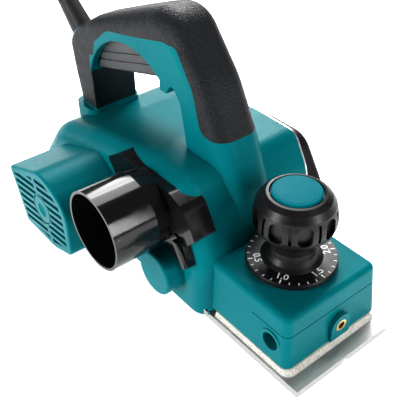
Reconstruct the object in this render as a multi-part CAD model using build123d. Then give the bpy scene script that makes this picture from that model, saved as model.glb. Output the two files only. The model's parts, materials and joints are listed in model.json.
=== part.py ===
from build123d import *
import os
from math import cos, pi, radians, sin, tan

os.makedirs("parts", exist_ok=True)

# Electric hand planer, millimetres. +X points forwards (towards the depth knob), +Y to the operator's
# left (the belt side) and +Z up. The origin lies on the rear sole, on the centre line of the soles.

# Soles
SOLE_WIDTH = 82.0
SOLE_HALF = SOLE_WIDTH / 2
SOLE_T = 5.0
FRONT_X = 142.5
BACK_X = -142.5
MOUTH_FRONT = 46.5
MOUTH_BACK = 17.0
DEPTH_TRAVEL = 2.5
BASE_SCREWS = [(-120.0, -33.0), (-120.0, 33.0), (-25.0, -33.0), (-25.0, 33.0)]

# Cutter drum
DRUM_X, DRUM_Z = 30.5, 28.0
DRUM_R = 24.0
CUT_R = 27.8
MOUTH_R = 30.0
BEARING_R, BEARING_BORE, BEARING_W = 11.0, 4.0, 7.0
CLAMP_SCREWS = (-27.0, 0.0, 27.0)
HUB_R = 15.5

# Motor
MOTOR_X, MOTOR_Z = -58.0, 44.5
FIELD_R, FIELD_BORE = 23.5, 15.6
ARMATURE_R = 15.0
SHAFT_R = 3.95
FAN_R = 26.0

# Housing
BODY_HALF = 47.0
BODY_WALL = 3.0
MOTOR_END = -91.0
GRILLE_T = 4.0
BELT_PLATE_T = 2.0
BELT_COVER_Y = 64.0
PULLEY_Y0, PULLEY_Y1 = 52.0, 60.5
BIG_PULLEY_R, SMALL_PULLEY_R = 14.0, 9.0
COVER_SCREWS = [(54.0, 15.0), (-82.0, 15.0), (8.0, 80.0)]

# Front block and depth dial
BLOCK_FRONT, BLOCK_BACK = 131.4, 60.0
BLOCK_HALF = 39.6
BLOCK_Z0, BLOCK_Z1 = 11.6, 48.0
BLOCK_TOP_FRONT, BLOCK_TOP_HALF = 127.6, 37.6
SKIRT_Z, SKIRT_T = 15.8, 1.5
GUIDE_X, GUIDE_Z, GUIDE_R = 116.5, 24.6, 6.0
INSERT_Y, INSERT_Z, INSERT_R, INSERT_BORE = 4.0, 22.0, 4.2, 2.55
INSERT_X0, INSERT_X1 = 121.5, 133.2
KNOB_X = 92.5
DISC_R = 28.0
DISC_Z0, DISC_Z1 = 50.1, 53.6
KNOB_R = 25.0
CAP_R = 15.0
HEAD_Z = 98.0

# Handle
GRIP_HALF = 18.0
RUBBER_T = 3.0
SHELL_T = 2.6
TRIGGER_PIVOT = (-16.5, 137.0)
TRIGGER_HALF = 12.0
TRIGGER_TRAVEL = 4.0
LEVER_PIVOT = (3.0, 141.0)
LEVER_HALF = 11.5
LEVER_TRAVEL = 12.0
HANDLE_SCREWS = [(-107.5, 92.0), (-104.0, 128.0), (-3.0, 150.0), (34.0, 106.0)]

# Chip nozzle
NOZZLE_X, NOZZLE_Z = 16.5, 71.0
NOZZLE_R, NOZZLE_WALL = 26.0, 1.8
NOZZLE_END = -91.0

# Cord
CORD_R = 3.8
GUARD_LEN = 58.0
GUARD_START = (-131.5, 0.0, 121.5)
GUARD_SLOPE = 42.0
COIL_TURNS_R = 42.0
COIL_X, COIL_Y = -252.0, -118.0
CORD_POINTS = [
    (-223.0, -10.0, 186.0), (-248.0, -24.0, 178.0), (-268.0, -42.0, 152.0), (-282.0, -60.0, 117.0),
    (-292.0, -80.0, 80.0), (-298.0, -102.0, 48.0), (-297.0, -124.0, 28.0), (-287.0, -147.0, 20.0),
    (-270.0, -162.0, 18.6), (-249.0, -167.6, 18.6),
]
TAIL_POINTS = [(-243.0, -166.6, 3.9), (-219.0, -162.0, 5.0), (-204.0, -153.5, 9.5), (-195.0, -143.0, 14.0)]
PLUG_START = (-196.0, -144.2, 14.0)
PLUG_HEADING = (0.62, 0.78, 0.0)


def prism_y(face, y0, y1):
    """A face drawn in (x, z) swept from y0 to y1."""
    plane = Plane(origin=(0, y1, 0), x_dir=(1, 0, 0), z_dir=(0, -1, 0))
    return extrude(plane * face, y1 - y0)


def prism_z(face, z0, z1):
    """A face drawn in (x, y) swept from z0 to z1."""
    return extrude(Plane.XY.offset(z0) * face, z1 - z0)


def prism_x(face, x0, x1):
    """A face drawn in (y, z) swept from x0 to x1."""
    plane = Plane(origin=(x0, 0, 0), x_dir=(0, 1, 0), z_dir=(1, 0, 0))
    return extrude(plane * face, x1 - x0)


def block(x0, x1, y0, y1, z0, z1):
    return Pos((x0 + x1) / 2, (y0 + y1) / 2, (z0 + z1) / 2) * Box(x1 - x0, y1 - y0, z1 - z0)


def rod_y(x, z, r, y0, y1):
    return prism_y(Pos(x, z) * Circle(r), y0, y1)


def rod_z(x, y, r, z0, z1):
    return prism_z(Pos(x, y) * Circle(r), z0, z1)


def rod_x(y, z, r, x0, x1):
    return prism_x(Pos(y, z) * Circle(r), x0, x1)


def ring_y(x, z, r_out, r_in, y0, y1):
    return rod_y(x, z, r_out, y0, y1) - rod_y(x, z, r_in, y0 - 1, y1 + 1)


def ring_z(x, y, r_out, r_in, z0, z1):
    return rod_z(x, y, r_out, z0, z1) - rod_z(x, y, r_in, z0 - 1, z1 + 1)


def outline(points, radii):
    """A closed polygon with one rounding radius for each of its corners."""
    face = make_face(Polyline(*points, close=True))
    for point, radius in zip(points, radii):
        if radius:
            corner = face.vertices().sort_by_distance(Vector(*point, 0))[0]
            face = fillet(corner, radius)
    return face


def lofted_y(face_near, y_near, face_far, y_far):
    """A solid lofted between two (x, z) faces."""
    near = Plane(origin=(0, y_near, 0), x_dir=(1, 0, 0), z_dir=(0, -1, 0)) * face_near
    far = Plane(origin=(0, y_far, 0), x_dir=(1, 0, 0), z_dir=(0, -1, 0)) * face_far
    return loft([near, far])


def soften(solid, edges, radius):
    """Rounds the edges, at a smaller radius where the full one doesn't fit."""
    for r in (radius, radius * 0.75, radius * 0.5, radius * 0.25):
        try:
            rounded = solid.fillet(r, edges)
            if rounded.is_valid:
                return rounded
        except Exception:
            continue
    print("not rounded")
    return solid


# ---------------------------------------------------------------- outlines in (x, z)

BODY_POINTS = [
    (66.5, 5.0), (65.5, 43.0), (60.0, 58.0), (56.0, 77.0), (44.0, 98.0), (6.0, 98.5),
    (-66.0, 83.0), (-112.0, 68.0), (-140.0, 34.0), (-141.0, 5.0),
]
BODY_ROUNDS = [0, 20, 20, 30, 12, 60, 60, 40, 14, 0]

MOTOR_POINTS = [
    (-99.0, 58.0), (-86.0, 15.5), (-45.0, 16.5), (-20.0, 25.0), (-20.0, 64.0), (-48.0, 78.0),
]
MOTOR_ROUNDS = [3.5, 4, 20, 7, 20, 26]

HANDLE_POINTS = [
    (-118.0, 52.0), (-127.5, 100.0), (-131.0, 127.0), (-93.0, 149.0),
    (-48.0, 166.5), (-3.5, 183.0), (29.0, 144.0), (46.0, 112.0), (58.0, 82.0), (61.5, 44.0), (24.0, 44.0),
    (15.0, 92.0), (9.0, 126.0), (1.0, 136.5), (-5.0, 127.5), (-12.0, 128.0),
]
HANDLE_ROUNDS = [0, 60, 15, 60, 90, 24, 60, 60, 30, 0, 0, 60, 9, 3, 2.5, 2]
ARCH_START, ARCH_TOP, ARCH_END = (-11.5, 134.5), (-59.8, 143.4), (-96.5, 109.0)
POST_POINTS = [(-95.5, 104.0), (-95.0, 52.0)]


def body_face(inset=0.0):
    face = outline(BODY_POINTS, BODY_ROUNDS)
    return offset(face, -inset) if inset else face


def motor_face(inset=0.0):
    face = outline(MOTOR_POINTS, MOTOR_ROUNDS)
    return offset(face, -inset) if inset else face


def handle_face(inset=0.0):
    """The handle's side view: rear post, grip and front post round the finger opening."""
    corners = HANDLE_POINTS + [ARCH_START]
    edges = Polyline(*corners) + ThreePointArc(ARCH_START, ARCH_TOP, ARCH_END)
    edges += Polyline(ARCH_END, *POST_POINTS, HANDLE_POINTS[0])
    face = make_face(edges)
    for point, radius in zip(HANDLE_POINTS, HANDLE_ROUNDS):
        if radius:
            corner = face.vertices().sort_by_distance(Vector(*point, 0))[0]
            face = fillet(corner, radius)
    return offset(face, -inset) if inset else face


def rubber_zone():
    """The side view of the soft grip: the grip's top, both posts' outer parts and the rear post's front."""
    points = [
        (-119.0, 78.0), (-121.5, 118.0), (-118.5, 136.0), (-118.5, 210.0), (100.0, 210.0), (100.0, 113.0),
        (38.0, 113.0), (28.5, 116.0), (21.5, 139.0), (5.0, 161.5), (-6.0, 161.5), (-36.0, 154.5),
        (-70.0, 147.5), (-87.0, 134.0), (-90.5, 123.0), (-96.5, 121.0), (-97.0, 108.0), (-88.0, 108.0),
        (-88.0, 78.0),
    ]
    rounds = [6, 0, 0, 0, 0, 0, 9, 7, 30, 6, 6, 40, 20, 4, 2, 1.5, 0, 0, 0]
    return outline(points, rounds)


def long_edges(solid, half):
    """The edges that run round a prism's two flat sides at y = -half and y = half."""
    flat = [e for e in solid.edges() if e.bounding_box().size.Y < 0.01]
    return [e for e in flat if abs(abs(e.center().Y) - half) < 0.01]


def on_opening(edge):
    """Whether an edge of the handle runs round the finger opening."""
    return -98.0 < edge.center().X < 26.0 and edge.center().Z < 146.0


def rounded_handle(inset, outer_r, inner_r):
    """The handle inset on all sides, rounder on its outside than round the finger opening."""
    half = GRIP_HALF - inset
    solid = prism_y(handle_face(inset), -half, half)
    solid = soften(solid, [e for e in long_edges(solid, half) if not on_opening(e)], outer_r)
    return soften(solid, [e for e in long_edges(solid, half) if on_opening(e)], inner_r)


def handle_outer():
    return rounded_handle(0.0, 12.5, 3.5)


def handle_core():
    return rounded_handle(RUBBER_T, 9.5, 2.5)


def trigger_face(grow=0.0):
    """The paddle trigger's side view: a flat chord below and an arc above, hidden in the handle."""
    start, top, end = (-14.5, 132.4), (-60.8, 144.6), (-94.3, 109.6)
    hub = Pos(*TRIGGER_PIVOT) * Circle(4.6)
    face = make_face(Line(end, start) + ThreePointArc(start, top, end)) + hub
    return offset(face, grow) if grow else face


def turned(face, pivot, degrees):
    return Pos(*pivot) * Rot(0, 0, degrees) * Pos(-pivot[0], -pivot[1]) * face


def trigger_space():
    """Room inside the handle for the trigger over its whole travel."""
    swept = trigger_face(0.7)
    for step in (1, 2, 3):
        swept += turned(trigger_face(0.7), TRIGGER_PIVOT, -TRIGGER_TRAVEL * step / 3)
    return prism_y(swept, -TRIGGER_HALF - 0.6, TRIGGER_HALF + 0.6)


def lever_face():
    hub = Pos(*LEVER_PIVOT) * Circle(3.2)
    tongue = outline([(0.6, 141.0), (1.0, 123.6), (6.6, 121.6), (6.0, 141.0)], [0, 2, 2, 0])
    return hub + tongue


def lever_space():
    swept = offset(lever_face(), 0.6)
    for step in (1, 2, 3):
        swept += turned(offset(lever_face(), 0.6), LEVER_PIVOT, -LEVER_TRAVEL * step / 3)
    return prism_y(swept, -LEVER_HALF - 0.6, LEVER_HALF + 0.6)


def left_half_zone():
    """The part of the handle that the separate left cover makes up."""
    points = [(-140.0, 72.0), (-80.0, 72.0), (-80.0, 110.0), (0.0, 110.0), (30.0, 92.0), (70.0, 92.0)]
    points += [(70.0, 200.0), (-140.0, 200.0)]
    return prism_y(outline(points, [0] * 8), 0.0, 30.0)


def handle_shell():
    """The hard shell of the handle, both halves, without the soft grip."""
    outer = handle_outer()
    zone = prism_y(rubber_zone(), -30.0, 30.0)
    shell = outer - ((outer - handle_core()) & zone)
    inside = RUBBER_T + SHELL_T
    half = GRIP_HALF - inside
    cavity = prism_y(handle_face(inside), -half, half) & block(-140, 70, -20, 20, 60, 200)
    shell = shell - cavity - trigger_space() - lever_space()
    pins = rod_y(*TRIGGER_PIVOT, 2.0, -half - 2, half + 2)
    pins += rod_y(*LEVER_PIVOT, 1.5, -LEVER_HALF - 3, LEVER_HALF + 3)
    return shell - pins - cord_bore()


def grip_rubber(side):
    """One half of the soft grip: side is -1 for the right and 1 for the left."""
    outer = handle_outer()
    skin = (outer - handle_core()) & prism_y(rubber_zone(), -30.0, 30.0)
    skin = skin - trigger_space() - lever_space()
    half = skin & block(-150, 80, min(0, side * 30), max(0, side * 30), 40, 210)
    return half - screw_wells()


def guard_frame():
    """The plane across the cord guard's foot, with its normal along the guard."""
    x, y, z = GUARD_START
    a = radians(GUARD_SLOPE)
    return Plane(origin=(x, y, z), x_dir=(0, 1, 0), z_dir=(-cos(a), 0, sin(a)))


def cord_bore():
    """The seat of the cord guard: its root's bore, and a wider one for the sleeve outside."""
    plane = guard_frame()
    return extrude(plane * Circle(7.2), 20, both=True) + extrude(plane * Circle(8.8), 20)


def guard_collar():
    """The shell's collar round the cord guard."""
    collar = extrude(guard_frame().offset(-10) * Circle(10.4), 10.0)
    return collar - cord_bore()


def motor_shell():
    return prism_y(motor_face(), MOTOR_END + GRILLE_T, -30.0)


def body_outer():
    solid = prism_y(body_face(), -BODY_HALF, BODY_HALF)
    right = [e for e in long_edges(solid, BODY_HALF) if e.center().Y < 0 and e.center().Z > 12]
    return soften(solid, right, 13.0)


def body_inner():
    half = BODY_HALF - BODY_WALL
    solid = prism_y(body_face(BODY_WALL), -half, half)
    right = [e for e in long_edges(solid, half) if e.center().Y < 0 and e.center().Z > 14]
    solid = soften(solid, right, 10.0)
    return solid + block(BACK_X + 6, 63.5, -half, half, 4.0, 10.0)


def block_plan(front, half, radius):
    corners = [(BLOCK_BACK, -half), (front, -half), (front, half), (BLOCK_BACK, half)]
    return outline(corners, [0, radius, radius, 0])


def front_block():
    """The block over the front sole that carries the depth dial, drawn in towards its top."""
    low = Plane.XY.offset(BLOCK_Z0) * block_plan(BLOCK_FRONT, BLOCK_HALF, 5.0)
    high = Plane.XY.offset(BLOCK_Z1) * block_plan(BLOCK_TOP_FRONT, BLOCK_TOP_HALF, 5.0)
    solid = loft([low, high])
    top = [e for e in solid.faces().sort_by(Axis.Z)[-1].edges() if e.center().X > BLOCK_BACK + 1]
    solid = soften(solid, top, 3.5)
    rim = rod_z(KNOB_X, 0, 26.5, BLOCK_Z1 - 1, DISC_Z0 - 0.4)
    boss_face = Pos(INSERT_Y, INSERT_Z) * Circle(8.0) + Pos(INSERT_Y, INSERT_Z - 5) * Rectangle(16, 10)
    boss = prism_x(boss_face, BLOCK_FRONT - 3, INSERT_X1 - 0.2)
    seam_z, seam_h = 34.8, 0.6
    seam = block(100, 140, -50, 50, seam_z, seam_z + seam_h)
    seam -= prism_z(block_plan(BLOCK_FRONT - 2.9, BLOCK_HALF - 1.7, 5.0), seam_z - 1, seam_z + 2)
    return solid + rim + boss - seam


def front_block_inner():
    """The block's hollow, with a thinner skirt at the bottom that the front sole rises into."""
    half = BLOCK_HALF - 5.2
    room = block(BLOCK_BACK - 1, BLOCK_FRONT - 7, -half, half, BLOCK_Z0 - 1, BLOCK_Z1 - 4)
    skirt = block_plan(BLOCK_FRONT - SKIRT_T, BLOCK_HALF - SKIRT_T, 4.5)
    return room + prism_z(skirt, BLOCK_Z0 - 1, SKIRT_Z)


def rear_post_foot():
    """The wider step at the foot of the handle's rear post."""
    foot = block(-121.5, -94.0, -22.0, 22.0, 60.0, 77.0)
    foot = soften(foot, foot.edges().filter_by(Axis.Z), 8.0)
    return foot - body_inner() - handle_core()


def main_housing():
    """The one-piece housing: body, motor shell, front block and the handle's right half."""
    body = body_outer() + motor_shell()
    body -= body_inner()
    body -= prism_y(motor_face(BODY_WALL), MOTOR_END, -20.0)
    body -= block(MOUTH_BACK, 70, -SOLE_HALF - 0.5, SOLE_HALF + 0.5, 4.0, 8.4)
    drum_hub = rod_y(DRUM_X, DRUM_Z, HUB_R, -60.0, -BODY_HALF + 2)
    drum_hub = soften(drum_hub, [drum_hub.faces().sort_by(Axis.Y)[0].edge()], 1.5)
    left_hub = rod_y(DRUM_X, DRUM_Z, HUB_R, 41.5, 50.0)
    motor_hub = rod_y(MOTOR_X, MOTOR_Z, 14.5, 33.0, 50.0)
    field_seat = ring_y(MOTOR_X, MOTOR_Z, FIELD_R + 3, FIELD_R, -54.0, -4.0)
    body += drum_hub + left_hub + motor_hub + field_seat
    body -= rod_y(DRUM_X, DRUM_Z, BEARING_R, -52.0, -40.0) + rod_y(DRUM_X, DRUM_Z, 6.0, -57.0, -40.0)
    body -= rod_y(DRUM_X, DRUM_Z, BEARING_R, 42.5, 51.0) + rod_y(DRUM_X, DRUM_Z, 6.0, 40.0, 51.0)
    body -= rod_y(MOTOR_X, MOTOR_Z, BEARING_R, 42.0, 51.0) + rod_y(MOTOR_X, MOTOR_Z, 6.0, 30.0, 51.0)
    body -= rod_y(NOZZLE_X, NOZZLE_Z, 22.4, -BODY_HALF - 1, -BODY_HALF + 8)
    top = front_block() - front_block_inner()
    top -= rod_z(KNOB_X, 0, 6.2, 40.0, 52.0)
    guide = rod_y(GUIDE_X, GUIDE_Z, GUIDE_R + 2.2, -BLOCK_HALF + 0.5, -18.0)
    guide &= block(BLOCK_BACK, BLOCK_FRONT, -BLOCK_HALF, 0, SKIRT_Z, BLOCK_Z1)
    insert_boss = rod_x(INSERT_Y, INSERT_Z, INSERT_R + 1.9, 119.0, BLOCK_FRONT)
    top = top + guide + insert_boss
    top -= rod_y(GUIDE_X, GUIDE_Z, GUIDE_R, -BLOCK_HALF - 1, -20.0)
    top -= rod_x(INSERT_Y, INSERT_Z, INSERT_R, INSERT_X0 - 0.5, 140.0)
    top -= block(50, 66.5, -50, 50, 5, 48) & body_inner()
    half_zone = left_half_zone()
    shell = handle_shell() - body_inner()
    shell += rear_post_foot() + (guard_collar() - handle_core())
    return body + top + (shell - half_zone)


def handle_left_cover():
    shell = handle_shell() & left_half_zone()
    extra = rear_post_foot() + (guard_collar() - handle_core())
    cover = shell + (extra & left_half_zone())
    return cover - body_outer() - screw_wells()


def motor_end_cover():
    """The motor's end plate: slanted cooling slots either side of a rib, round a plain centre ring."""
    plate = prism_y(motor_face(), MOTOR_END, MOTOR_END + GRILLE_T)
    rim = [e for e in plate.faces().sort_by(Axis.Y)[0].edges()]
    plate = soften(plate, rim, 1.6)
    ring_x, ring_z, ring_r = -54.5, 44.5, 12.0
    slots = Sketch()
    for i in range(-7, 8):
        bar = Rectangle(90, 3.0)
        slots += Pos(ring_x, ring_z) * Rot(0, 0, 9) * Pos(0, i * 5.6) * bar
    window = motor_face(5.0) - Pos(ring_x, ring_z) * Circle(ring_r)
    window -= Pos(ring_x, ring_z) * Rot(0, 0, 17) * Rectangle(4.0, 90)
    plate -= prism_y(slots & window, MOTOR_END - 1, MOTOR_END + GRILLE_T + 1)
    groove = Pos(ring_x, ring_z) * (Circle(ring_r - 0.8) - Circle(ring_r - 2.0))
    plate -= prism_y(groove, MOTOR_END - 1, MOTOR_END + 1.0)
    dimple = Pos(ring_x, MOTOR_END - 7.0, ring_z) * Sphere(9.0)
    plate -= dimple
    seat = ring_y(MOTOR_X, MOTOR_Z, 14.0, BEARING_R, MOTOR_END + GRILLE_T, -78.0)
    return plate + seat


def rear_base():
    """The rear sole: a flat cast plate with a lip at the mouth and low ribs inside the housing."""
    plate = block(BACK_X, MOUTH_BACK, -SOLE_HALF, SOLE_HALF, 0, SOLE_T)
    plate = soften(plate, plate.edges().filter_by(Axis.Z).group_by(Axis.X)[0], 4.0)
    ribs = Part()
    for y in (-24.0, 0.0, 24.0):
        ribs += block(-126.0, -6.0, y - 1.5, y + 1.5, SOLE_T - 1, 10.0)
    for x, y in BASE_SCREWS:
        ribs += rod_z(x, y, 5.0, SOLE_T - 1, 12.0)
    plate += ribs - rod_y(DRUM_X, DRUM_Z, 34.0, -60, 60)
    plate -= rod_y(DRUM_X, DRUM_Z, MOUTH_R, -60, 60)
    for x, y in BASE_SCREWS:
        plate -= rod_z(x, y, 2.2, -1, 13) + rod_z(x, y, 4.2, -1, 2.6)
    return plate


def base_screws():
    heads = Part()
    for x, y in BASE_SCREWS:
        screw = rod_z(x, y, 4.1, 0.4, 2.6) + rod_z(x, y, 2.15, 2.0, 12.0)
        heads += screw - block(x - 3, x + 3, y - 0.5, y + 0.5, 0, 1.4)
    return heads


def front_base():
    """The front sole with its raised casting, which slides up into the block when the depth is set."""
    plate = block(MOUTH_FRONT, FRONT_X, -SOLE_HALF, SOLE_HALF, 0, SOLE_T)
    plate -= rod_y(DRUM_X, DRUM_Z - DEPTH_TRAVEL, MOUTH_R - 0.2, -60, 60)
    groove_half, groove_depth = 4.0, 2.6
    groove = outline([(-groove_half, -0.1), (groove_half, -0.1), (0.0, groove_depth)], [0, 0, 0.5])
    plate -= prism_x(groove, MOUTH_FRONT + 10, FRONT_X + 1)
    plate = soften(plate, plate.edges().filter_by(Axis.Z).group_by(Axis.X)[-1], 0.8)
    foot = outline([(67.2, -39.7), (133.2, -39.7), (133.2, 39.7), (67.2, 39.7)], [0.5, 6, 6, 0.5])
    riser = outline([(67.5, -37.6), (129.4, -37.6), (129.4, 37.6), (67.5, 37.6)], [2, 6, 6, 2])
    top = outline([(67.2, -38.6), (131.0, -38.6), (131.0, 38.6), (67.2, 38.6)], [0.5, 6, 6, 0.5])
    low = loft([Plane.XY.offset(SOLE_T) * foot, Plane.XY.offset(8.8) * top])
    casting = plate + low + prism_z(riser, 8.8, 12.4)
    casting -= block(72, 125, -34, 34, 8.0, 14.0) - rod_z(KNOB_X, 0, 13.0, 7, 15)
    casting += rod_z(KNOB_X, 0, 10.0, 4.0, 36.0)
    casting -= rod_z(KNOB_X, 0, 5.4, 9.0, 40.0)
    mark = outline([(139.0, -3.0), (139.0, 3.0), (134.8, 0.6)], [0, 0, 0]) - outline(
        [(138.2, -1.9), (138.2, 1.9), (135.9, 0.5)], [0, 0, 0]
    )
    casting -= prism_z(mark, SOLE_T - 0.2, SOLE_T + 1)
    return casting


def depth_screw():
    return rod_z(KNOB_X, 0, 5.0, 14.0, 72.0)


def depth_scale():
    """The graduated disc under the knob."""
    disc = ring_z(KNOB_X, 0, DISC_R, 5.0, DISC_Z0, DISC_Z1)
    top_circles = disc.edges().filter_by(GeomType.CIRCLE).group_by(Axis.Z)[-1]
    return disc.chamfer(0.5, None, top_circles.sort_by(SortBy.RADIUS)[-1:])


def knob():
    """The depth knob: flared neck, wide head with finger windows and a slot between each two."""
    profile = [
        (5.0, DISC_Z1), (19.0, DISC_Z1), (16.4, 55.6), (14.8, 59.0), (14.3, 63.0), (14.8, 67.5),
        (16.8, 72.0), (20.6, 75.6), (22.0, 76.4), (22.0, 77.6), (23.8, 77.9), (24.8, 81.0),
        (KNOB_R, 85.0), (24.6, 89.5), (23.2, 94.0), (20.6, 98.0), (17.6, 100.4), (16.0, 100.7),
        (16.0, HEAD_Z), (5.0, HEAD_Z),
    ]
    face = Plane.XZ * make_face(Polyline(*profile, close=True))
    head = revolve(face, Axis.Z)
    window = prism_x(Pos(0, 86.2) * RectangleRounded(8.6, 12.6, 3.6), KNOB_R - 3.4, KNOB_R + 2)
    slot = prism_x(Pos(0, 86.6) * RectangleRounded(1.8, 12.0, 0.8), KNOB_R - 2.6, KNOB_R + 2)
    count = 9
    for i in range(count):
        angle = 360 / count * i + 8
        head -= Rot(0, 0, angle) * window + Rot(0, 0, angle + 180 / count) * slot
    return Pos(KNOB_X, 0, 0) * head + rod_z(KNOB_X, 0, 5.05, 72.0, HEAD_Z)


def knob_cap():
    """The coloured button that closes the knob's top, very slightly domed."""
    dome_r = 190.0
    cap = rod_z(KNOB_X, 0, CAP_R, HEAD_Z, HEAD_Z + 3.7)
    cap = soften(cap, cap.edges().group_by(Axis.Z)[-1], 1.6)
    dome = Pos(KNOB_X, 0, HEAD_Z + 4.3 - dome_r) * Sphere(dome_r)
    dome &= rod_z(KNOB_X, 0, 12.6, HEAD_Z + 2, HEAD_Z + 6)
    return cap + dome


def depth_pointer():
    """The small arrow on the housing that the depth scale is read against."""
    face = outline([(58.5, -2.6), (66.6, 0.0), (58.5, 2.6)], [0, 0.4, 0])
    return prism_z(face, DISC_Z1 + 0.7, DISC_Z1 + 2.9) - body_outer() - handle_outer()


def brass_insert():
    bore = rod_x(INSERT_Y, INSERT_Z, INSERT_BORE, INSERT_X0 - 1, INSERT_X1 + 1)
    return rod_x(INSERT_Y, INSERT_Z, INSERT_R, INSERT_X0, INSERT_X1) - bore


def cutter_drum():
    """The cutter drum with its shaft and two flats for the blades."""
    drum = rod_y(DRUM_X, DRUM_Z, DRUM_R, -SOLE_HALF, SOLE_HALF)
    for side in (0, 180):
        pocket = block(DRUM_R - 7.5, DRUM_R + 5, -60, 60, -2.2, 9.0)
        drum -= Pos(DRUM_X, 0, DRUM_Z) * Rot(0, side, 0) * pocket
    drum += rod_y(DRUM_X, DRUM_Z, BEARING_BORE, -52.0, PULLEY_Y1)
    return drum


def on_drum(solid, side):
    return Pos(DRUM_X, 0, DRUM_Z) * Rot(0, side, 0) * solid


def planer_blade(side):
    tip = CUT_R - 0.02
    blade = block(DRUM_R - 7.5, tip - 1.0, -SOLE_HALF, SOLE_HALF, -2.2, -0.8)
    edge = outline([(tip - 1.0, -2.2), (tip, -2.2), (tip - 1.0, -0.8)], [0, 0, 0])
    return on_drum(blade + prism_y(edge, -SOLE_HALF, SOLE_HALF), side)


def blade_clamp(side):
    """The bar that holds a blade in the drum, with its outer side following the drum."""
    bar = block(DRUM_R - 7.5, DRUM_R + 1, -SOLE_HALF + 0.5, SOLE_HALF - 0.5, -0.8, 9.0)
    bar &= rod_y(0, 0, DRUM_R - 0.3, -60, 60)
    for y in CLAMP_SCREWS:
        bar -= Pos(DRUM_R - 7.5, y, 4.4) * Rot(0, 90, 0) * Cylinder(2.6, 40)
    return on_drum(bar, side)


def clamp_screws(side):
    screws = Part()
    for y in CLAMP_SCREWS:
        screws += Pos(DRUM_R - 5.0, y, 4.4) * Rot(0, 90, 0) * Cylinder(2.6, 5.0)
    return on_drum(screws, side)


def bearing(x, z, y0):
    """A closed ball bearing: two rings with a shield between them."""
    body = ring_y(x, z, BEARING_R, BEARING_BORE, y0, y0 + BEARING_W)
    for y in (y0 - 0.1, y0 + BEARING_W - 0.5):
        body -= ring_y(x, z, 9.2, 5.6, y, y + 0.6)
    return body


def on_motor(solid, turn):
    return Pos(MOTOR_X, 0, MOTOR_Z) * Rot(0, turn, 0) * solid


def motor_shaft():
    return rod_y(MOTOR_X, MOTOR_Z, SHAFT_R, -87.0, PULLEY_Y1)


def armature_core():
    core = ring_y(MOTOR_X, MOTOR_Z, ARMATURE_R, SHAFT_R, -52.0, -6.0)
    for i in range(12):
        slot = block(ARMATURE_R - 2.5, ARMATURE_R + 1, -60, 0, -0.8, 0.8)
        core -= on_motor(slot, 30 * i)
    return core


def armature_windings():
    ends = ring_y(MOTOR_X, MOTOR_Z, 13.0, SHAFT_R, -59.0, -52.0)
    ends += ring_y(MOTOR_X, MOTOR_Z, 13.0, SHAFT_R, -6.0, 1.0)
    return soften(ends, [e for e in ends.edges().filter_by(GeomType.CIRCLE) if e.radius > 12], 2.5)


def commutator():
    body = ring_y(MOTOR_X, MOTOR_Z, 9.5, SHAFT_R, -75.0, -60.0)
    for i in range(24):
        body -= on_motor(block(8.7, 10, -80, -61.5, -0.2, 0.2), 15 * i)
    return body


def cooling_fan():
    """A backward-curved fan: a disc with twelve blades round a hub."""
    fan = rod_y(MOTOR_X, MOTOR_Z, 9.0, 12.0, 26.0) + rod_y(MOTOR_X, MOTOR_Z, FAN_R, 12.0, 14.0)
    blade = Pos(17.0, 18.5, 0) * Rot(0, 28, 0) * Box(16, 11, 1.4)
    for i in range(12):
        fan += on_motor(blade, 30 * i)
    return fan & ring_y(MOTOR_X, MOTOR_Z, FAN_R, SHAFT_R, 11.0, 27.0)


def field_core():
    core = ring_y(MOTOR_X, MOTOR_Z, FIELD_R, FIELD_BORE, -52.0, -6.0)
    for side in (-1, 1):
        gap = block(-FIELD_R + 4, FIELD_R - 4, -60, 0, -3, 3) - rod_y(0, 0, FIELD_BORE, -60, 0)
        core -= on_motor(gap, 90 * side)
    return core


def brush_holder(side):
    tube = block(10.0, 23.0, -72.0, -64.0, -4.0, 4.0) - block(9.0, 24.0, -71.0, -65.0, -3.0, 3.0)
    return on_motor(tube, 90 + 90 * side)


def carbon_brush(side):
    brush = block(9.6, 20.0, -71.0, -65.0, -3.0, 3.0) - rod_y(0, 0, 9.7, -80, -60)
    return on_motor(brush, 90 + 90 * side)


def pulley(x, z, radius, bore):
    """A grooved belt pulley."""
    wheel = ring_y(x, z, radius, bore, PULLEY_Y0, PULLEY_Y1)
    for i in range(3):
        y = PULLEY_Y0 + 2.2 + 2.0 * i
        wheel -= ring_y(x, z, radius + 1, radius - 1.0, y - 0.4, y + 0.4)
    return wheel


def belt_loop(grow):
    """The outline round both pulleys, each taken at its radius plus grow."""
    big = Pos(DRUM_X, DRUM_Z) * Circle(BIG_PULLEY_R + grow)
    small = Pos(MOTOR_X, MOTOR_Z) * Circle(SMALL_PULLEY_R + grow)
    return make_hull(big.edges() + small.edges())


def drive_belt():
    gap, thick = 0.3, 2.2
    return prism_y(belt_loop(gap + thick) - belt_loop(gap), PULLEY_Y0 + 1.0, PULLEY_Y1 - 1.2)


def belt_side_face(inset):
    """The belt side's outline, which follows the housing's side view at a distance."""
    points = [
        (62.0, 7.0), (60.0, 58.0), (40.0, 89.0), (6.0, 89.0), (-62.0, 76.0), (-90.0, 62.0), (-90.0, 7.0),
    ]
    face = outline(points, [8, 18, 18, 50, 30, 20, 8])
    return offset(face, -inset) if inset else face


def belt_plate():
    """The bright plate between the housing's left wall and the belt cover."""
    plate = prism_y(body_face(1.0) & Pos(0, 62) * Rectangle(400, 110), BODY_HALF, BODY_HALF + BELT_PLATE_T)
    plate -= rod_y(DRUM_X, DRUM_Z, 15.7, 40, 60) + rod_y(MOTOR_X, MOTOR_Z, 14.7, 40, 60)
    return plate & block(-92, 66.5, 40, 60, 7.0, 110)


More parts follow.
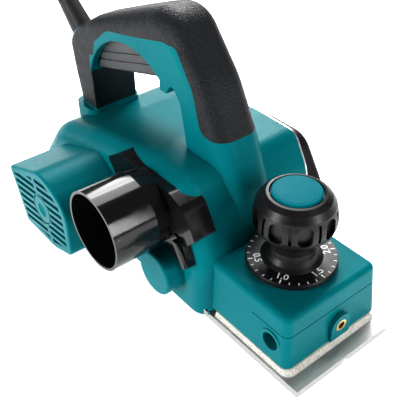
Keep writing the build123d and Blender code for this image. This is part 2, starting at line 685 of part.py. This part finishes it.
def belt_cover():
    """The black cover over the belt drive."""
    y0 = BODY_HALF + BELT_PLATE_T
    outer = prism_y(belt_side_face(0), y0, BELT_COVER_Y)
    outer = soften(outer, [e for e in outer.faces().sort_by(Axis.Y)[-1].edges()], 5.0)
    cover = outer - prism_y(belt_side_face(2.4), y0 - 1, BELT_COVER_Y - 2.4)
    for x, z in COVER_SCREWS:
        cover += rod_y(x, z, 5.0, y0, BELT_COVER_Y - 1)
        cover -= rod_y(x, z, 3.8, BELT_COVER_Y - 3.0, BELT_COVER_Y + 1)
        cover -= rod_y(x, z, 2.1, y0 - 1, BELT_COVER_Y)
    for i in range(6):
        vent = Pos(-20.0 + 7.0 * i, 62.0) * Rot(0, 0, 12) * SlotOverall(16, 2.6, rotation=90)
        cover -= prism_y(vent, BELT_COVER_Y - 4, BELT_COVER_Y + 1)
    return cover


def cover_screws():
    screws = Part()
    for x, z in COVER_SCREWS:
        head = rod_y(x, z, 3.7, BELT_COVER_Y - 3.0, BELT_COVER_Y - 0.6)
        head -= block(x - 2.5, x + 2.5, BELT_COVER_Y - 1.6, BELT_COVER_Y, z - 0.5, z + 0.5)
        head -= block(x - 0.5, x + 0.5, BELT_COVER_Y - 1.6, BELT_COVER_Y, z - 2.5, z + 2.5)
        screws += head + rod_y(x, z, 2.05, BODY_HALF + BELT_PLATE_T, BELT_COVER_Y - 2.9)
    return screws


def chip_duct():
    """The tube inside the housing that takes the chips from the drum out to the nozzle."""
    duct = ring_y(NOZZLE_X, NOZZLE_Z, 22.2, 20.4, -43.8, 32.0)
    duct += rod_y(NOZZLE_X, NOZZLE_Z, 22.2, 32.0, 33.8)
    return duct - rod_y(DRUM_X, DRUM_Z, 32.0, -50, 50)


def drum_shroud():
    """The guard round the drum inside the housing, open towards the chip duct and the work."""
    shroud = ring_y(DRUM_X, DRUM_Z, 31.8, 30.0, -SOLE_HALF - 2.5, 41.3)
    shroud -= block(-20, 80, -60, 60, -20, 16.0) + rod_y(NOZZLE_X, NOZZLE_Z, 22.3, -60, 60)
    return shroud & body_inner()


def chip_nozzle():
    """The chip nozzle: an open pipe on a closer elbow, with a thin angular flange on the housing."""
    centre = Pos(NOZZLE_X, NOZZLE_Z)
    pipe = prism_y(centre * Circle(NOZZLE_R), NOZZLE_END, -60.0)
    rim = pipe.faces().sort_by(Axis.Y)[-1].edges()
    pipe = soften(pipe, rim, 1.2)
    elbow = lofted_y(centre * Circle(NOZZLE_R - 2.0), -BODY_HALF, centre * Circle(NOZZLE_R - 0.5), -60.5)
    points = [
        (-27.5, 84.5), (-14.5, 93.2), (38.0, 93.2), (52.5, 88.0), (62.2, 70.0), (51.5, 59.0),
        (36.0, 52.0), (20.0, 45.0), (-14.0, 66.0),
    ]
    flange = prism_y(outline(points, [1, 1, 14, 9, 1, 1, 1, 10, 8]), -50.5, -34.0)
    fin = outline([(30.0, 50.0), (43.0, 65.0), (51.0, 63.0), (57.0, 46.4), (53.0, 43.2)], [0, 1, 1, 0.8, 0.8])
    ridge = outline([(44.0, 62.0), (48.0, 62.0), (56.4, 47.0), (53.8, 45.0)], [0.5, 0.5, 0.5, 0.5])
    flange += prism_y(fin, -51.5, -46.0) + prism_y(ridge, -54.0, -50.0)
    nozzle = pipe + elbow + (flange - body_outer())
    nozzle -= prism_y(centre * Circle(NOZZLE_R - NOZZLE_WALL), NOZZLE_END - 1, -62.0)
    nozzle -= lofted_y(centre * Circle(22.0), -BODY_HALF, centre * Circle(NOZZLE_R - NOZZLE_WALL), -62.0)
    nozzle -= prism_y(centre * Circle(22.0), -BODY_HALF - 0.5, -30)
    return nozzle - rod_y(DRUM_X, DRUM_Z, HUB_R + 0.3, -61.0, -40.0)


def trigger():
    """The paddle trigger with two grip ridges along each side."""
    paddle = prism_y(trigger_face(), -TRIGGER_HALF, TRIGGER_HALF)
    lines = [e for e in paddle.edges() if e.geom_type == GeomType.LINE and e.length > 50]
    paddle = soften(paddle, [e for e in lines if e.center().Z < 123], 3.0)
    sides = ((-TRIGGER_HALF - 1, -TRIGGER_HALF + 0.9), (TRIGGER_HALF - 0.9, TRIGGER_HALF + 1))
    for y0, y1 in sides:
        for rise in (8.5, 14.5):
            band = Pos(-54.0, 121.0 + rise) * Rot(0, 0, 16.5) * Rectangle(120, 1.6)
            paddle -= prism_y(band, y0, y1)
    return paddle - rod_y(*TRIGGER_PIVOT, 2.15, -20, 20)


def trigger_pin():
    half = GRIP_HALF - RUBBER_T - SHELL_T + 1.8
    return rod_y(*TRIGGER_PIVOT, 2.0, -half, half)


def lock_lever():
    lever = prism_y(lever_face(), -LEVER_HALF, LEVER_HALF)
    return lever - rod_y(*LEVER_PIVOT, 1.65, -20, 20)


def lever_pin():
    return rod_y(*LEVER_PIVOT, 1.5, -LEVER_HALF - 2.8, LEVER_HALF + 2.8)


def switch_body():
    return block(-46.0, -16.0, -8.0, 8.0, 152.2, 159.0) - trigger_space()


def screw_wells():
    """The wells in the handle's left half that take its screws."""
    wells = Part()
    for x, z in HANDLE_SCREWS:
        wells += rod_y(x, z, 3.3, 13.2, 24.0)
    return wells


def handle_screws():
    """Four screws that hold the left half of the handle."""
    screws = Part()
    for x, z in HANDLE_SCREWS:
        head = rod_y(x, z, 3.1, 13.2, 16.0)
        head -= block(x - 2.2, x + 2.2, 14.8, 17, z - 0.5, z + 0.5)
        head -= block(x - 0.5, x + 0.5, 14.8, 17, z - 2.2, z + 2.2)
        screws += head
    return screws


def cord_guard():
    """The rubber sleeve that keeps the cord from kinking where it leaves the handle."""
    plane = guard_frame()
    root = extrude(plane.offset(-9.0) * Circle(7.2), 9.0)
    sleeve = loft([plane * Circle(8.6), plane.offset(GUARD_LEN) * Circle(5.4)])
    for i in range(5):
        at = 26.0 + 6.0 * i
        cut = plane.offset(at) * (Circle(12.0) - Circle(8.6 - 3.2 * at / GUARD_LEN - 0.8))
        sleeve -= extrude(cut, 2.0)
    return root + sleeve


def guard_tip():
    x, y, z = GUARD_START
    a = radians(GUARD_SLOPE)
    return (x - GUARD_LEN * cos(a), y, z + GUARD_LEN * sin(a))


def cord_route():
    """The corners of the cord's path from the guard to the coil: up and back, then over and down."""
    x, y, z = guard_tip()
    a = radians(GUARD_SLOPE)
    first = (x - 24.0 * cos(a), y, z + 24.0 * sin(a))
    return [(x, y, z), first] + CORD_POINTS


def swept_tube(points, name):
    """A tube along straight runs joined by the largest arcs that they allow."""
    corners = [Vector(*p) for p in points]
    runs = [(b - a).length for a, b in zip(corners, corners[1:])]
    radii = []
    for a, b, c in zip(corners, corners[1:], corners[2:]):
        turn = radians((b - a).get_angle(c - b))
        radii.append(0.45 * min((b - a).length, (c - b).length) / tan(turn / 2))
    path = FilletPolyline(*corners, radius=radii)
    section = Plane(origin=corners[0], z_dir=corners[1] - corners[0]) * Circle(CORD_R)
    tube = sweep(section, path=path)
    ideal = pi * CORD_R**2 * path.length
    print(name, "runs", [round(r) for r in runs], "radii", [round(r) for r in radii])
    print(name, "length", round(path.length, 1), "volume ratio", round(tube.volume / ideal, 4))
    return tube


def cord_coil():
    """The outer shape of the coiled cord: two layers of turns, three wide."""
    half_width = 3 * CORD_R
    ring = ring_z(COIL_X, COIL_Y, COIL_TURNS_R + half_width, COIL_TURNS_R - half_width, 0.0, 4 * CORD_R)
    return soften(ring, ring.edges().filter_by(GeomType.CIRCLE), 3.0)


def cord_tie():
    """A band of hook-and-loop tape round the coil."""
    outer = block(COIL_X - 7, COIL_X + 7, COIL_Y + 27.0, COIL_Y + 57.0, 0.0, 4 * CORD_R + 1.2)
    return outer - cord_coil() - block(-400, 400, -400, 400, -1, 0.0)


def plug_place():
    return Plane(origin=PLUG_START, x_dir=(0, 0, 1), z_dir=PLUG_HEADING)


def plug_body():
    """The moulded two-pin plug, lying beside the coil."""
    plane = plug_place()
    neck = loft([plane * Circle(5.0), plane.offset(14.0) * Circle(8.0)])
    grip = loft([plane.offset(14.0) * Circle(9.0), plane.offset(24.0) * Circle(14.0)])
    head = extrude(plane.offset(24.0) * Circle(14.0), 14.0)
    return neck + grip + head


def plug_pins():
    pins = Part()
    for side in (-1, 1):
        place = plug_place().offset(38.0)
        pins += extrude(place * Pos(0, side * 9.5) * Circle(2.4), 19.0)
    return pins


NODES = {
    "main_housing": main_housing,
    "handle_left_cover": handle_left_cover,
    "grip_rubber_right": lambda: grip_rubber(-1),
    "grip_rubber_left": lambda: grip_rubber(1),
    "handle_screws": handle_screws,
    "motor_end_cover": motor_end_cover,
    "rear_base": rear_base,
    "rear_base_screws": base_screws,
    "front_base": front_base,
    "depth_screw": depth_screw,
    "depth_scale": depth_scale,
    "depth_knob": knob,
    "knob_cap": knob_cap,
    "depth_pointer": depth_pointer,
    "brass_insert": brass_insert,
    "cutter_drum": cutter_drum,
    "planer_blade_1": lambda: planer_blade(0),
    "planer_blade_2": lambda: planer_blade(180),
    "blade_clamp_1": lambda: blade_clamp(0),
    "blade_clamp_2": lambda: blade_clamp(180),
    "clamp_screws_1": lambda: clamp_screws(0),
    "clamp_screws_2": lambda: clamp_screws(180),
    "drum_bearing_right": lambda: bearing(DRUM_X, DRUM_Z, -52.0),
    "drum_bearing_left": lambda: bearing(DRUM_X, DRUM_Z, 42.5),
    "motor_bearing_right": lambda: bearing(MOTOR_X, MOTOR_Z, -86.0),
    "motor_bearing_left": lambda: bearing(MOTOR_X, MOTOR_Z, 42.5),
    "motor_shaft": motor_shaft,
    "armature_core": armature_core,
    "armature_windings": armature_windings,
    "commutator": commutator,
    "cooling_fan": cooling_fan,
    "field_core": field_core,
    "brush_holder_front": lambda: brush_holder(-1),
    "brush_holder_rear": lambda: brush_holder(1),
    "carbon_brush_front": lambda: carbon_brush(-1),
    "carbon_brush_rear": lambda: carbon_brush(1),
    "motor_pulley": lambda: pulley(MOTOR_X, MOTOR_Z, SMALL_PULLEY_R, SHAFT_R),
    "drum_pulley": lambda: pulley(DRUM_X, DRUM_Z, BIG_PULLEY_R, BEARING_BORE),
    "drive_belt": drive_belt,
    "belt_plate": belt_plate,
    "belt_cover": belt_cover,
    "belt_cover_screws": cover_screws,
    "chip_duct": chip_duct,
    "drum_shroud": drum_shroud,
    "chip_nozzle": chip_nozzle,
    "trigger": trigger,
    "trigger_pin": trigger_pin,
    "lock_lever": lock_lever,
    "lever_pin": lever_pin,
    "switch_body": switch_body,
    "cord_guard": cord_guard,
    "power_cord": lambda: swept_tube(cord_route(), "power cord"),
    "cord_coil": cord_coil,
    "cord_tail": lambda: swept_tube(TAIL_POINTS, "cord tail"),
    "cord_tie": cord_tie,
    "plug_body": plug_body,
    "plug_pins": plug_pins,
}

for node, make in NODES.items():
    export_step(make(), f"parts/{node}.step")
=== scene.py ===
import json
import math

import bpy
from mathutils import Matrix, Vector


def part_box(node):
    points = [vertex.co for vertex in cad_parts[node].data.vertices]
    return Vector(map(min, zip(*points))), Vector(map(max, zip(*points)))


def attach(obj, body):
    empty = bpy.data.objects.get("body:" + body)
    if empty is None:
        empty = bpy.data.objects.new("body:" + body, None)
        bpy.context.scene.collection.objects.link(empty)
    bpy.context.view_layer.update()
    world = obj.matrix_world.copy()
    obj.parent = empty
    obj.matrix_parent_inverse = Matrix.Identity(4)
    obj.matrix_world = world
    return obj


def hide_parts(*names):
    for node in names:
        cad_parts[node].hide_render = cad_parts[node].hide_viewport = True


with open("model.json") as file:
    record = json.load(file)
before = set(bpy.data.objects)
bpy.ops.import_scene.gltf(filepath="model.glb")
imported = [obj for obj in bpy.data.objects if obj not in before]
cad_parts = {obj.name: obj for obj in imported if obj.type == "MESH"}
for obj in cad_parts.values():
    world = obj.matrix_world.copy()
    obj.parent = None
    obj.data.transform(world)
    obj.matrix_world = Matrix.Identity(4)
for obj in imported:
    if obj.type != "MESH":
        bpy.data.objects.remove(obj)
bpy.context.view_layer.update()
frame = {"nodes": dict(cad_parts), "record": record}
scene = bpy.context.scene
nodes = frame["nodes"]

# ------------------------------------------------------------------ camera, lights and floor

CAMERA_AT = Vector((0.29634, -0.22938, 0.32796))
AZIMUTH, ELEVATION, ROLL = (math.radians(a) for a in (51.888, 37.562, -1.169))
LENS_MM = 60.63
SENSOR_MM = 36.0

WORLD_STRENGTH = 0.14
SUN_POWER, SUN_ANGLE, SUN_TILT = 1.25, math.radians(30), (math.radians(-22), math.radians(-24), 0.0)
# name, place, target, size in metres, power in watts
AREA_LIGHTS = [
    ("back_box", (-0.95, 0.75, 0.95), (0, 0, 0.08), (0.8, 0.8), 24.0),
    ("left_box", (-0.15, -1.3, 0.45), (0, 0, 0.06), (0.25, 0.9), 13.0),
    ("front_box", (1.25, 0.35, 0.6), (0, 0, 0.05), (0.3, 0.8), 8.0),
]


def view_rotation(azimuth, elevation, roll):
    """A camera's rotation: azimuth 0 looks along +Y, and elevation is how far it looks down."""
    back = Vector((
        math.sin(azimuth) * math.cos(elevation),
        -math.cos(azimuth) * math.cos(elevation),
        math.sin(elevation),
    ))
    level = Vector((math.cos(azimuth), math.sin(azimuth), 0.0))
    upright = back.cross(level)
    right = math.cos(roll) * level + math.sin(roll) * upright
    up = math.cos(roll) * upright - math.sin(roll) * level
    return Matrix((right, up, back)).transposed()


def add_object(name, data):
    obj = bpy.data.objects.new(name, data)
    scene.collection.objects.link(obj)
    return obj


def add_camera():
    data = bpy.data.cameras.new("camera")
    data.lens = LENS_MM
    data.sensor_width = SENSOR_MM
    data.clip_start = 0.01
    camera = add_object("camera", data)
    camera.matrix_world = view_rotation(AZIMUTH, ELEVATION, ROLL).to_4x4()
    camera.location = CAMERA_AT
    scene.camera = camera


def add_area(name, place, target, size, power):
    data = bpy.data.lights.new(name, "AREA")
    data.shape = "RECTANGLE"
    data.size, data.size_y = size
    data.energy = power
    light = add_object(name, data)
    light.location = place
    light.rotation_euler = (Vector(target) - Vector(place)).to_track_quat("-Z", "Y").to_euler()


def add_lights():
    world = bpy.data.worlds.new("studio")
    world.use_nodes = True
    background = world.node_tree.nodes["Background"]
    background.inputs["Color"].default_value = (1.0, 1.0, 1.0, 1.0)
    background.inputs["Strength"].default_value = WORLD_STRENGTH
    scene.world = world
    sun = bpy.data.lights.new("soft_sun", "SUN")
    sun.energy = SUN_POWER
    sun.angle = SUN_ANGLE
    high = add_object("soft_sun", sun)
    high.rotation_euler = SUN_TILT
    for light in AREA_LIGHTS:
        add_area(*light)


add_camera()
add_lights()
scene.view_settings.view_transform = "Standard"
scene.view_settings.look = "Medium High Contrast"

# ------------------------------------------------------------------ node helpers


class Shader:
    """A principled material whose colour, roughness and bump are built from object-space textures."""

    def __init__(self, name, **fixed):
        self.material = bpy.data.materials.new(name)
        self.material.use_nodes = True
        self.tree = self.material.node_tree
        self.bsdf = self.tree.nodes["Principled BSDF"]
        self.coords = self.add("ShaderNodeTexCoord").outputs["Object"]
        for key, value in fixed.items():
            socket = self.bsdf.inputs[key.replace("_", " ")]
            socket.default_value = (*value, 1.0) if isinstance(value, tuple) else value

    def add(self, kind, **settings):
        node = self.tree.nodes.new(kind)
        for key, value in settings.items():
            setattr(node, key, value)
        return node

    def link(self, source, target):
        self.tree.links.new(source, target)

    def stretched(self, scale):
        """Object coordinates stretched along each axis."""
        node = self.add("ShaderNodeMapping")
        node.inputs["Scale"].default_value = scale
        self.link(self.coords, node.inputs["Vector"])
        return node.outputs["Vector"]

    def noise(self, size, detail=2.0, rough=0.5, stretch=(1.0, 1.0, 1.0)):
        """Smooth noise whose features are about size metres across."""
        node = self.add("ShaderNodeTexNoise")
        node.inputs["Scale"].default_value = 1.0 / size
        node.inputs["Detail"].default_value = detail
        node.inputs["Roughness"].default_value = rough
        self.link(self.stretched(stretch), node.inputs["Vector"])
        return node.outputs["Fac"]

    def cells(self, size):
        """Distance to the nearest of scattered points about size metres apart."""
        node = self.add("ShaderNodeTexVoronoi")
        node.inputs["Scale"].default_value = 1.0 / size
        self.link(self.coords, node.inputs["Vector"])
        return node.outputs["Distance"]

    def remap(self, value, low, high, to_low=0.0, to_high=1.0):
        node = self.add("ShaderNodeMapRange")
        self.link(value, node.inputs["Value"])
        for key, number in (("From Min", low), ("From Max", high), ("To Min", to_low), ("To Max", to_high)):
            node.inputs[key].default_value = number
        return node.outputs["Result"]

    def math(self, operation, first, second):
        node = self.add("ShaderNodeMath", operation=operation)
        for socket, value in zip(node.inputs, (first, second)):
            if isinstance(value, float):
                socket.default_value = value
            else:
                self.link(value, socket)
        return node.outputs["Value"]

    def height(self):
        """The object-space height in metres."""
        node = self.add("ShaderNodeSeparateXYZ")
        self.link(self.coords, node.inputs["Vector"])
        return node.outputs["Z"]

    def mixed(self, factor, first, second):
        node = self.add("ShaderNodeMix", data_type="RGBA")
        self.link(factor, node.inputs["Factor"])
        for socket, value in zip((node.inputs[6], node.inputs[7]), (first, second)):
            if isinstance(value, tuple):
                socket.default_value = (*value, 1.0)
            else:
                self.link(value, socket)
        return node.outputs[2]

    def color(self, value):
        self.link(value, self.bsdf.inputs["Base Color"])

    def roughness(self, value):
        self.link(value, self.bsdf.inputs["Roughness"])

    def bump(self, height, distance):
        """A bump whose full height is distance metres."""
        node = self.add("ShaderNodeBump")
        node.inputs["Strength"].default_value = 1.0
        node.inputs["Distance"].default_value = distance
        self.link(height, node.inputs["Height"])
        self.link(node.outputs["Normal"], self.bsdf.inputs["Normal"])


MOULD_GRAIN, MOULD_DEPTH = 0.0006, 0.00003
TOOL_LINE, TOOL_DEPTH = 0.0004, 0.00001


def moulded(name, base, tint, rough, **fixed):
    """Moulded plastic: two close tints, a fine grain and faint handling marks in its gloss."""
    s = Shader(name, **fixed)
    s.color(s.mixed(s.remap(s.noise(0.03), 0.35, 0.65), base, tint))
    marks = s.remap(s.noise(0.004, detail=4.0, rough=0.7), 0.3, 0.75, rough - 0.05, rough + 0.08)
    s.roughness(marks)
    s.bump(s.noise(MOULD_GRAIN, detail=2.0), MOULD_DEPTH)
    return s.material


def dusty_gloss(name, base, rough, dust):
    """Polished plastic with scattered pale specks of wood dust."""
    s = Shader(name, Specular_IOR_Level=0.42)
    specks = s.remap(s.cells(0.0035), 0.075, 0.045)
    patches = s.remap(s.noise(0.02, detail=3.0), 0.5, 0.66)
    specks = s.math("MULTIPLY", specks, patches)
    s.color(s.mixed(specks, base, dust))
    s.roughness(s.math("MAXIMUM", s.remap(s.noise(0.008, detail=3.0), 0.3, 0.7, rough, rough + 0.07), specks))
    s.bump(s.noise(0.012, detail=1.0), 0.00006)
    return s.material


def soft_grip():
    """Soft black grip: a coarse sparkling grain over a softer one."""
    s = Shader("grip_rubber", Specular_IOR_Level=0.22)
    grain = s.cells(0.0011)
    s.color(s.mixed(s.remap(grain, 0.1, 0.6), (0.008, 0.009, 0.011), (0.016, 0.018, 0.021)))
    s.roughness(s.remap(s.noise(0.006, detail=3.0), 0.3, 0.7, 0.4, 0.54))
    s.bump(s.math("ADD", grain, s.noise(0.0016)), 0.00028)
    return s.material


def machined(name, base, tint, rough, stretch):
    """Milled or turned metal: fine parallel tool lines, uneven tone and small scuffs."""
    s = Shader(name, Metallic=1.0)
    lines = s.noise(TOOL_LINE, detail=3.0, rough=0.6, stretch=stretch)
    s.color(s.mixed(s.math("MULTIPLY", lines, s.noise(0.012, detail=4.0)), base, tint))
    s.roughness(s.remap(s.noise(0.005, detail=4.0, rough=0.7), 0.3, 0.75, rough - 0.06, rough + 0.12))
    s.bump(lines, TOOL_DEPTH)
    return s.material


def sole_casting():
    """The front sole: machined plate below, speckled sand-cast riser above."""
    s = Shader("cast_aluminium")
    z = s.height()
    cast = s.remap(z, 0.00515, 0.0056)
    lines = s.noise(0.0005, detail=3.0, stretch=(1.0, 0.06, 1.0))
    plate = s.mixed(lines, (0.38, 0.385, 0.38), (0.62, 0.62, 0.60))
    specks = s.remap(s.noise(0.0011, detail=4.0, rough=0.75), 0.42, 0.62)
    riser = s.mixed(specks, (0.56, 0.54, 0.49), (0.94, 0.92, 0.86))
    s.color(s.mixed(cast, plate, riser))
    s.link(s.remap(cast, 0.0, 1.0, 0.9, 0.25), s.bsdf.inputs["Metallic"])
    s.roughness(s.remap(cast, 0.0, 1.0, 0.5, 0.72))
    grain = s.math("MULTIPLY", s.noise(0.0009, detail=4.0, rough=0.7), s.remap(cast, 0.0, 1.0, 0.12, 1.0))
    s.bump(s.math("ADD", grain, s.math("MULTIPLY", lines, 0.08)), 0.00022)
    return s.material


def cord_rubber():
    s = Shader("cord_rubber", Specular_IOR_Level=0.45)
    tone = s.noise(0.01, detail=3.0)
    s.color(s.mixed(tone, (0.010, 0.010, 0.011), (0.024, 0.024, 0.025)))
    s.roughness(s.remap(s.noise(0.003, detail=3.0), 0.3, 0.7, 0.38, 0.52))
    s.bump(s.noise(0.0008, detail=2.0), 0.00005)
    return s.material


MATERIALS = {
    "teal_plastic": moulded("teal_plastic", (0.0, 0.155, 0.178), (0.0, 0.172, 0.195), 0.34,
                            Specular_IOR_Level=0.1, Specular_Tint=(0.25, 0.9, 1.0)),
    "grip_rubber": soft_grip(),
    "gloss_black_plastic": dusty_gloss("gloss_black_plastic", (0.008, 0.008, 0.009), 0.1, (0.5, 0.5, 0.48)),
    "black_plastic": moulded("black_plastic", (0.005, 0.005, 0.006), (0.008, 0.008, 0.009), 0.36,
                             Specular_IOR_Level=0.35),
    "knob_teal": moulded("knob_teal", (0.0, 0.15, 0.19), (0.0, 0.17, 0.21), 0.48,
                          Specular_IOR_Level=0.06, Specular_Tint=(0.25, 0.9, 1.0)),
    "trigger_grey": moulded("trigger_grey", (0.045, 0.047, 0.052), (0.055, 0.057, 0.062), 0.42),
    "machined_aluminium": machined("machined_aluminium", (0.36, 0.365, 0.37), (0.64, 0.64, 0.63), 0.40,
                                   (1.0, 0.05, 1.0)),
    "cast_aluminium": sole_casting(),
    "bright_plate": machined("bright_plate", (0.62, 0.62, 0.63), (0.85, 0.85, 0.85), 0.3, (0.05, 1.0, 1.0)),
    "steel": machined("steel", (0.42, 0.42, 0.43), (0.68, 0.68, 0.68), 0.34, (1.0, 1.0, 1.0)),
    "brass": machined("brass", (0.72, 0.50, 0.20), (0.90, 0.68, 0.32), 0.24, (1.0, 1.0, 1.0)),
    "copper": machined("copper", (0.62, 0.28, 0.14), (0.82, 0.42, 0.24), 0.32, (1.0, 0.08, 1.0)),
    "carbon": moulded("carbon", (0.02, 0.02, 0.02), (0.04, 0.04, 0.04), 0.6),
    "cord_rubber": cord_rubber(),
    "scale_print": moulded("scale_print", (0.85, 0.85, 0.84), (0.92, 0.92, 0.91), 0.45),
}

for part in frame["record"]["subparts"]:
    for material_slot in nodes[part["node"]].material_slots:
        material_slot.material = MATERIALS[part["material_slot"]]

# ------------------------------------------------------------------ the power cord

CORD_DIAMETER = 0.0076
GUARD_TIP = (-0.1746, 0.0, 0.1603)
DOWN_POINTS = [
    (-0.1924, 0.0, 0.1764), (-0.223, -0.010, 0.186), (-0.248, -0.024, 0.178), (-0.268, -0.042, 0.152),
    (-0.282, -0.060, 0.117), (-0.292, -0.080, 0.080), (-0.298, -0.102, 0.048), (-0.297, -0.124, 0.028),
    (-0.287, -0.147, 0.020), (-0.270, -0.162, 0.0186),
]
COIL_CENTRE = (-0.252, -0.118)
LANES = (0.0496, 0.042, 0.0344)
LAYERS = (0.0186, 0.0114, 0.0038)
# where each lane of the coil starts and ends, in turns: (turn, radius, height)
WINDING = [
    (0.0, LANES[0], LAYERS[0]), (0.2, LANES[0], LAYERS[1]), (0.85, LANES[0], LAYERS[1]),
    (1.0, LANES[1], LAYERS[1]), (1.85, LANES[1], LAYERS[1]), (2.0, LANES[2], LAYERS[1]),
    (2.85, LANES[2], LAYERS[1]), (3.0, LANES[2], LAYERS[2]), (3.7, LANES[2], LAYERS[2]),
    (3.85, LANES[1], LAYERS[2]), (4.55, LANES[1], LAYERS[2]), (4.7, LANES[0], LAYERS[2]),
    (5.04, LANES[0], LAYERS[2]),
]
POINTS_PER_TURN = 14
COIL_START = math.radians(270)
TAIL = [
    (-0.219, -0.162, 0.005), (-0.204, -0.1535, 0.0095), (-0.1965, -0.145, 0.014), (-0.190, -0.1365, 0.014),
]


def between(turn, keys):
    """The radius and height at a turn, between the winding's lanes."""
    for (t0, r0, z0), (t1, r1, z1) in zip(keys, keys[1:]):
        if turn <= t1:
            part = (turn - t0) / (t1 - t0)
            return r0 + (r1 - r0) * part, z0 + (z1 - z0) * part
    return keys[-1][1:]


def coil_points():
    """The turns of the put-away lead: in along the top layer, back out along the bottom one."""
    points = []
    for i in range(int(WINDING[-1][0] * POINTS_PER_TURN) + 1):
        turn = i / POINTS_PER_TURN
        radius, height = between(turn, WINDING)
        angle = COIL_START + 2 * math.pi * turn
        x = COIL_CENTRE[0] + radius * math.cos(angle)
        y = COIL_CENTRE[1] + radius * math.sin(angle)
        points.append((x, y, height))
    return points


def make_cord():
    points = [GUARD_TIP] + DOWN_POINTS + coil_points() + TAIL
    curve = bpy.data.curves.new("power_lead", "CURVE")
    curve.dimensions = "3D"
    curve.bevel_depth = CORD_DIAMETER / 2
    curve.bevel_resolution = 5
    curve.resolution_u = 8
    curve.use_fill_caps = True
    spline = curve.splines.new("NURBS")
    spline.points.add(len(points) - 1)
    for point, place in zip(spline.points, points):
        point.co = (*place, 1.0)
    spline.order_u = 3
    spline.use_endpoint_u = True
    curve.materials.append(MATERIALS["cord_rubber"])
    return add_object("power_lead", curve)


lead = make_cord()
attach(lead, "housing")
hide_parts("power_cord", "cord_coil", "cord_tail")

# ------------------------------------------------------------------ the depth scale's print

DIAL_AXIS = (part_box("depth_scale")[0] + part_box("depth_scale")[1]) / 2
DIAL_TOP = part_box("depth_scale")[1].z
DIAL_R = (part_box("depth_scale")[1].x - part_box("depth_scale")[0].x) / 2
PRINT_T = 0.00006
DEGREES_PER_MM = 120.0
ZERO_ANGLE = 180.0
TICKS, TICKS_PER_NUMBER, TICKS_PER_MM = 26, 5, 10
LONG_TICK, SHORT_TICK = (0.0008, 0.0031), (0.0006, 0.0019)
TICK_INSET, NUMBER_INSET, NUMBER_HEIGHT = 0.0009, 0.0067, 0.0064


def dial_place(angle, radius):
    """A matrix at a radius on the dial, with its Y towards the centre and its X along the tangent."""
    a = math.radians(angle)
    out = Vector((math.cos(a), math.sin(a), 0.0))
    along = Vector((-math.sin(a), math.cos(a), 0.0))
    rotation = Matrix((along, -out, Vector((0, 0, 1)))).transposed().to_4x4()
    at = Vector((DIAL_AXIS.x, DIAL_AXIS.y, DIAL_TOP - PRINT_T / 3)) + radius * out
    return Matrix.Translation(at) @ rotation


def tick_shape(width, length):
    """A thin printed bar that runs inwards from its place."""
    verts = []
    for z in (0.0, PRINT_T):
        verts += [(-width / 2, 0, z), (width / 2, 0, z), (width / 2, length, z), (-width / 2, length, z)]
    faces = [(0, 3, 2, 1), (4, 5, 6, 7), (0, 1, 5, 4), (1, 2, 6, 5), (2, 3, 7, 6), (3, 0, 4, 7)]
    return verts, faces


def number_shape(text, height):
    """A number's mesh from the built-in font."""
    curve = bpy.data.curves.new("number", "FONT")
    curve.body = text
    curve.size = height
    curve.align_x = "CENTER"
    curve.align_y = "CENTER"
    curve.extrude = PRINT_T / 2
    curve.offset = height * 0.012
    curve.resolution_u = 4
    holder = add_object("number", curve)
    graph = bpy.context.evaluated_depsgraph_get()
    mesh = bpy.data.meshes.new_from_object(holder.evaluated_get(graph))
    verts = [(v.co.x, v.co.y, v.co.z + PRINT_T / 2) for v in mesh.vertices]
    faces = [tuple(p.vertices) for p in mesh.polygons]
    bpy.data.objects.remove(holder)
    bpy.data.meshes.remove(mesh)
    return verts, faces


def make_scale_print():
    verts, faces = [], []

    def put(shape, matrix):
        start = len(verts)
        verts.extend(matrix @ Vector(v) for v in shape[0])
        faces.extend(tuple(start + i for i in f) for f in shape[1])

    for step in range(TICKS):
        numbered = step % TICKS_PER_NUMBER == 0
        angle = ZERO_ANGLE + DEGREES_PER_MM * step / TICKS_PER_MM
        width, length = LONG_TICK if numbered else SHORT_TICK
        put(tick_shape(width, length), dial_place(angle, DIAL_R - TICK_INSET))
        if numbered:
            text = f"{step / TICKS_PER_MM:.1f}" if step else "0"
            put(number_shape(text, NUMBER_HEIGHT), dial_place(angle, DIAL_R - NUMBER_INSET))
    mesh = bpy.data.meshes.new("scale_print")
    mesh.from_pydata(verts, [], faces)
    mesh.materials.append(MATERIALS["scale_print"])
    return add_object("scale_print", mesh)


scale_print = make_scale_print()
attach(scale_print, "depth_dial")

# ------------------------------------------------------------------ floor

FLOOR_HALF, FLOOR_Z, FLOOR_GLOW = 6.0, -0.0002, 0.7


def make_floor():
    s = Shader("studio_floor")
    s.color(s.mixed(s.noise(0.4), (0.90, 0.90, 0.90), (0.93, 0.93, 0.93)))
    s.roughness(s.remap(s.noise(0.2), 0.3, 0.7, 0.5, 0.6))
    s.bsdf.inputs["Emission Color"].default_value = (1.0, 1.0, 1.0, 1.0)
    s.bsdf.inputs["Emission Strength"].default_value = FLOOR_GLOW
    mesh = bpy.data.meshes.new("floor")
    corners = [(-1, -1), (1, -1), (1, 1), (-1, 1)]
    mesh.from_pydata([(FLOOR_HALF * x, FLOOR_HALF * y, 0) for x, y in corners], [], [(0, 1, 2, 3)])
    mesh.materials.append(s.material)
    floor = add_object("floor", mesh)
    floor.location.z = FLOOR_Z


make_floor()
